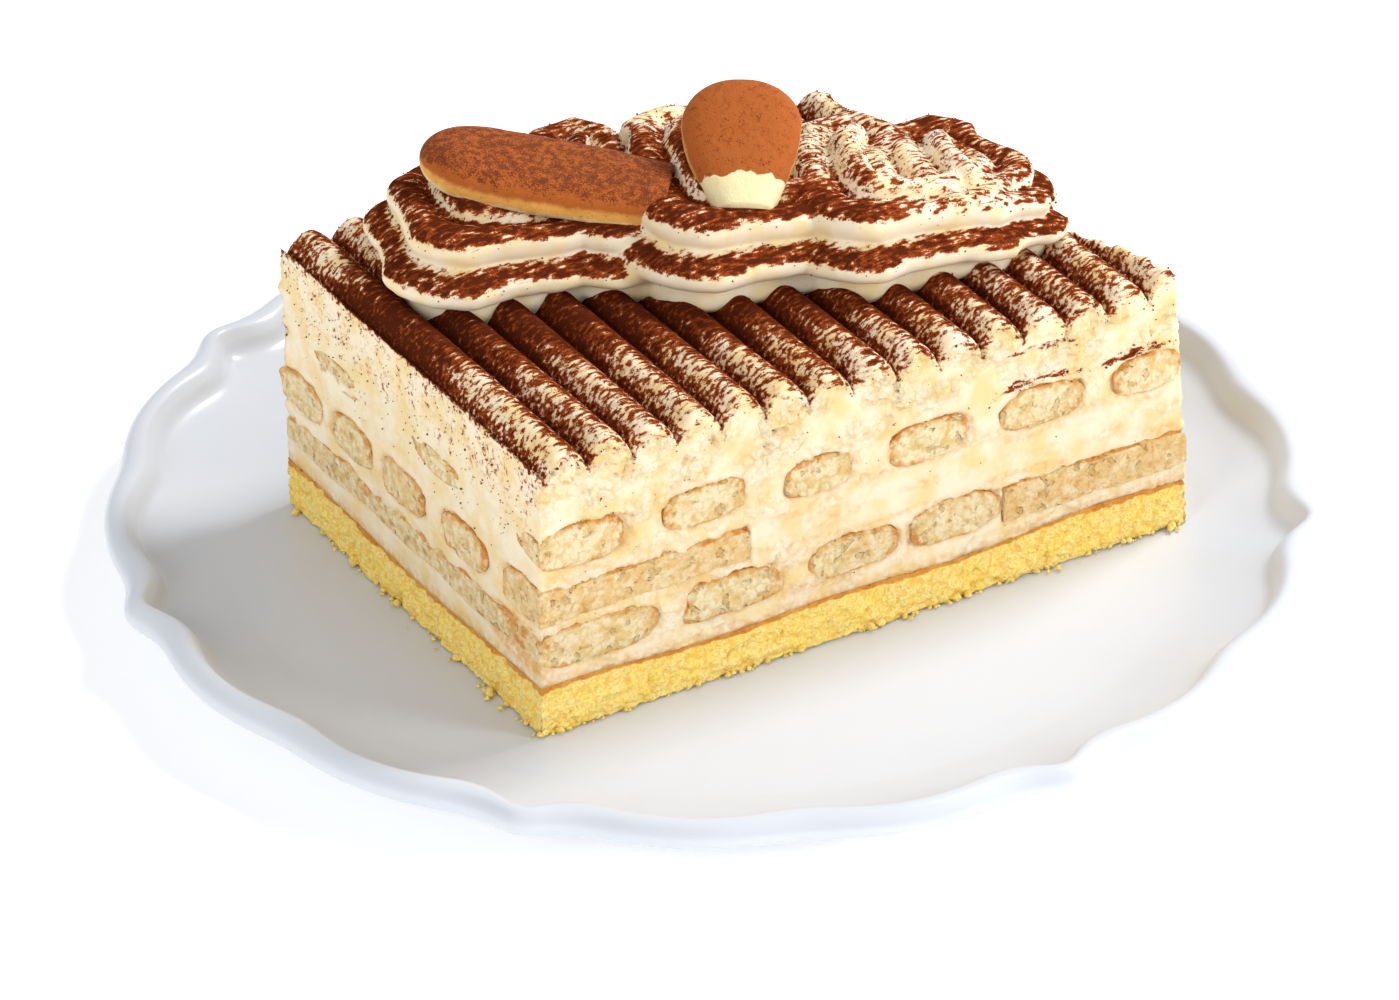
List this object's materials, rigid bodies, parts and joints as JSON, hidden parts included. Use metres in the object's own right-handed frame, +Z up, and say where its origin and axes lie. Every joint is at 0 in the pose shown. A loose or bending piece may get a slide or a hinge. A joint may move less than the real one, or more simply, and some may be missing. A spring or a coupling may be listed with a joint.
{
  "type": "tiramisu slice",
  "caption": "Plated tiramisu slice: sponge base, ladyfingers laid in cream, ridged cocoa-dusted top, piped cream and half ladyfingers, on a scalloped plate.",
  "frame": {"origin": "centre of the plate's bottom, on the plane it stands on", "axes": "+Z up; +X along the slice's long side; the long cut face looks toward -Y"},
  "size_m": [0.247, 0.2474, 0.102],
  "materials": {
    "glazed_stoneware": "clear glaze over white stoneware",
    "sponge": "open yellow crumb with a thin browned top",
    "cream": "mascarpone cream, cocoa dusted on the combed top",
    "piped_cream": "smooth whipped cream, cocoa dusted from above",
    "ladyfinger_crumb": "cut crumb of baked sponge fingers",
    "biscuit_crust": "baked crust under fine cocoa"
  },
  "bodies": {
    "root": {"plate": "glazed_stoneware", "sponge_base": "sponge", "cream_block": "cream", "piped_cream": "piped_cream", "top_biscuit_left": "biscuit_crust", "top_biscuit_right": "biscuit_crust", "ladyfinger_1a": "ladyfinger_crumb", "ladyfinger_1b": "ladyfinger_crumb", "ladyfinger_1c": "ladyfinger_crumb", "ladyfinger_1d": "ladyfinger_crumb", "ladyfinger_1e": "ladyfinger_crumb", "ladyfinger_2a": "ladyfinger_crumb", "ladyfinger_2b": "ladyfinger_crumb", "ladyfinger_2c": "ladyfinger_crumb", "ladyfinger_2d": "ladyfinger_crumb", "ladyfinger_2e": "ladyfinger_crumb", "ladyfinger_3a": "ladyfinger_crumb", "ladyfinger_3b": "ladyfinger_crumb", "ladyfinger_3c": "ladyfinger_crumb", "ladyfinger_3d": "ladyfinger_crumb", "ladyfinger_3e": "ladyfinger_crumb", "ladyfinger_3f": "ladyfinger_crumb"}
  },
  "joints": []
}
